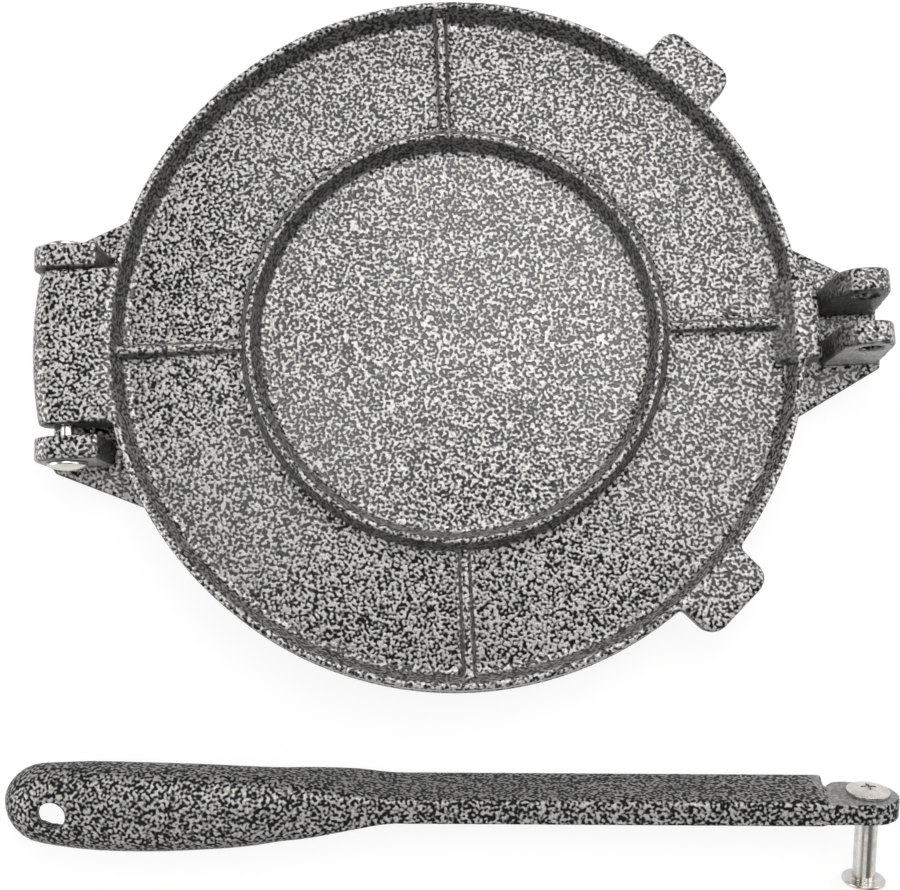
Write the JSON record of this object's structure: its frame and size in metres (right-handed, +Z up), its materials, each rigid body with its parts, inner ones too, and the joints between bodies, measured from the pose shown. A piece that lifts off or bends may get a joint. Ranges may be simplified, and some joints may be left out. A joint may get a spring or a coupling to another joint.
{
  "type": "tortilla press",
  "caption": "Hinged round press for flattening dough: ribbed lid on a footed base plate, with a separate clevis lever and its two-part pin.",
  "frame": {"origin": "on the table, under the middle of the whole footprint of press and lever", "axes": "+X from the lid's hinge to the clevis, +Y away from the loose lever, +Z up"},
  "size_m": [0.2647, 0.2701, 0.0398],
  "materials": {
    "hammertone_paint": "silver and black hammertone enamel on cast metal",
    "hammertone_lever": "darker silver and black hammertone enamel on cast metal",
    "nickel_steel": "nickel-plated steel"
  },
  "bodies": {
    "base": {"base": "hammertone_paint", "hinge_pin": "nickel_steel", "hinge_cap": "nickel_steel"},
    "lid": {"lid": "hammertone_paint"},
    "pivot_post": {"pivot_post": "nickel_steel"},
    "lever": {"lever": "hammertone_lever"},
    "pivot_screw": {"pivot_screw": "nickel_steel"}
  },
  "joints": [
    {"name": "lid_hinge", "type": "hinge", "parent": "base", "child": "lid", "pos_m": [-0.11205, 0.0302, 0.02025], "axis": [0, -1, 0], "range_deg": [0, 115]},
    {"name": "lever_lift", "type": "slide", "parent": "base", "child": "pivot_post", "axis": [0, 0, 1], "range_m": [0, 0.07]},
    {"name": "lever_swing", "type": "hinge", "parent": "pivot_post", "child": "lever", "pos_m": [0.11635, -0.1104, 0.01262], "axis": [0.0469, 0.9583, 0.2819], "range_deg": [0, 150]},
    {"name": "screw_out", "type": "slide", "parent": "pivot_post", "child": "pivot_screw", "axis": [0.0469, 0.9583, 0.2819], "range_m": [0, 0.014]}
  ]
}
